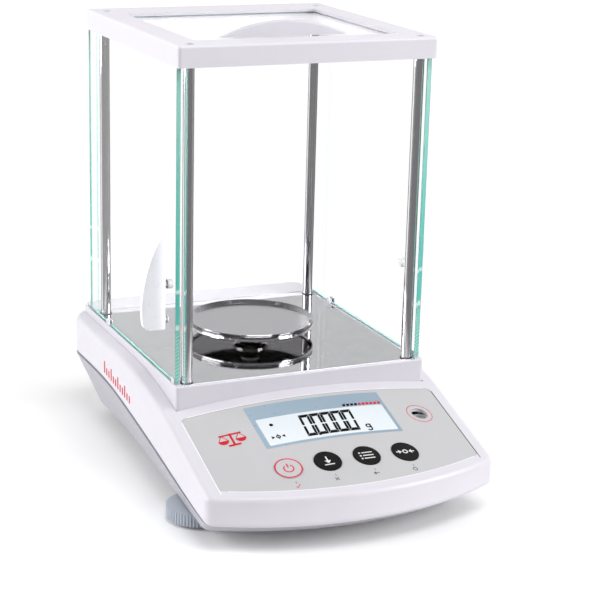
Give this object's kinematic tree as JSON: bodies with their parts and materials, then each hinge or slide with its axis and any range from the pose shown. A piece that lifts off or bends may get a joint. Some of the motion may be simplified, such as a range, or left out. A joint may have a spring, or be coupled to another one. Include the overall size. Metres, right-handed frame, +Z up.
{
  "type": "analytical balance",
  "caption": "Analytical balance: low white body with a sloping control panel and bubble level, round steel pan inside a glass draft shield with sliding side and top doors, levelling feet.",
  "frame": {"origin": "on the table, under the middle of the footprint", "axes": "+X to the user's right, +Y towards the rear, +Z up"},
  "size_m": [0.21, 0.317, 0.3108],
  "materials": {
    "white_abs": "fine satin white ABS",
    "grey_paint": "fine-textured light grey paint on a cast base",
    "stainless": "polished and finely brushed stainless steel",
    "chrome": "bright chrome plating",
    "clear_glass": "clear float glass, green at the edges",
    "black_rubber": "matte black rubber",
    "clear_rubber": "pale silicone rubber",
    "zinc_steel": "bright zinc plate",
    "aluminium": "machined, plain",
    "circuit_board": "green solder mask",
    "black_plastic": "fine matte black",
    "grey_plastic": "fine matte grey",
    "lcd_grey": "backlit liquid-crystal cell",
    "overlay_grey": "fine-textured printed film",
    "overlay_blue": "smooth printed film",
    "lcd_window": "smooth clear film over a pale display",
    "level_liquid": "tinted liquid",
    "foot_grey": "smooth blue-grey plastic",
    "brass": "machined"
  },
  "bodies": {
    "balance": {"base_tray": "grey_paint", "board_parts": "black_plastic", "board_pillars": "zinc_steel", "cell_bracket": "aluminium", "cell_top_plate": "aluminium", "control_overlay": "overlay_grey", "display_bezel": "overlay_blue", "display_board": "circuit_board", "display_module": "lcd_grey", "display_window": "lcd_window", "floor_plate": "stainless", "foot_nuts": "brass", "frame_screws": "zinc_steel", "front_pane": "clear_glass", "housing_screws": "zinc_steel", "key_domes": "clear_rubber", "level_cup": "overlay_grey", "level_liquid": "level_liquid", "level_vial": "clear_glass", "load_cell": "aluminium", "main_board": "circuit_board", "pan_carrier": "aluminium", "post_collars": "black_rubber", "post_front_left": "chrome", "post_front_right": "chrome", "post_rear_left": "chrome", "post_rear_right": "chrome", "power_jack": "black_plastic", "rear_feet": "black_rubber", "rear_pane": "clear_glass", "rear_panel": "grey_paint", "serial_port": "zinc_steel", "shield_base": "white_abs", "top_frame": "white_abs", "top_housing": "white_abs"},
    "left_door": {"left_door_glass": "clear_glass", "left_door_handle": "white_abs", "left_door_knob": "grey_plastic", "left_door_cap": "white_abs", "left_door_glides": "white_abs"},
    "right_door": {"right_door_glass": "clear_glass", "right_door_handle": "white_abs", "right_door_knob": "grey_plastic", "right_door_cap": "white_abs", "right_door_glides": "white_abs"},
    "top_door": {"top_door_glass": "clear_glass", "top_door_handle": "white_abs"},
    "pan": {"weighing_pan": "stainless", "pan_socket": "stainless"},
    "power_key": {"key_power": "overlay_grey"},
    "print_key": {"key_print": "black_plastic"},
    "function_key": {"key_function": "black_plastic"},
    "tare_key": {"key_tare": "black_plastic"},
    "left_pad": {"left_foot_pad": "black_plastic"},
    "left_wheel": {"left_foot_wheel": "foot_grey", "left_foot_stud": "zinc_steel"},
    "right_pad": {"right_foot_pad": "black_plastic"},
    "right_wheel": {"right_foot_wheel": "foot_grey", "right_foot_stud": "zinc_steel"}
  },
  "joints": [
    {"name": "left_door_slide", "type": "slide", "parent": "balance", "child": "left_door", "axis": [0, 1, 0], "range_m": [0, 0.135]},
    {"name": "right_door_slide", "type": "slide", "parent": "balance", "child": "right_door", "axis": [0, 1, 0], "range_m": [0, 0.135]},
    {"name": "top_door_slide", "type": "slide", "parent": "balance", "child": "top_door", "axis": [0, 1, 0], "range_m": [0, 0.102]},
    {"name": "pan_lift", "type": "slide", "parent": "balance", "child": "pan", "axis": [0, 0, 1], "range_m": [0, 0.02]},
    {"name": "power_press", "type": "slide", "parent": "balance", "child": "power_key", "axis": [0, 0.2996, -0.9541], "range_m": [0, 0.0004], "stiffness_N_per_m": 2500, "springref_m": -0.0002},
    {"name": "print_press", "type": "slide", "parent": "balance", "child": "print_key", "axis": [0, 0.2996, -0.9541], "range_m": [0, 0.0004], "stiffness_N_per_m": 2500, "springref_m": -0.0002},
    {"name": "function_press", "type": "slide", "parent": "balance", "child": "function_key", "axis": [0, 0.2996, -0.9541], "range_m": [0, 0.0004], "stiffness_N_per_m": 2500, "springref_m": -0.0002},
    {"name": "tare_press", "type": "slide", "parent": "balance", "child": "tare_key", "axis": [0, 0.2996, -0.9541], "range_m": [0, 0.0004], "stiffness_N_per_m": 2500, "springref_m": -0.0002},
    {"name": "left_foot_lift", "type": "slide", "parent": "balance", "child": "left_pad", "axis": [0, 0, 1], "range_m": [-0.004, 0]},
    {"name": "left_foot_turn", "type": "hinge", "parent": "left_pad", "child": "left_wheel", "pos_m": [-0.083, -0.0765, 0.006], "axis": [0, 0, 1], "range_deg": [-1440, 0]},
    {"name": "right_foot_lift", "type": "slide", "parent": "balance", "child": "right_pad", "axis": [0, 0, 1], "range_m": [-0.004, 0]},
    {"name": "right_foot_turn", "type": "hinge", "parent": "right_pad", "child": "right_wheel", "pos_m": [0.083, -0.0765, 0.006], "axis": [0, 0, 1], "range_deg": [-1440, 0]}
  ],
  "couplings": [
    {"joint": "left_foot_lift", "follows": "left_foot_turn", "m_per_rad": 0.00015915},
    {"joint": "right_foot_lift", "follows": "right_foot_turn", "m_per_rad": 0.00015915}
  ]
}
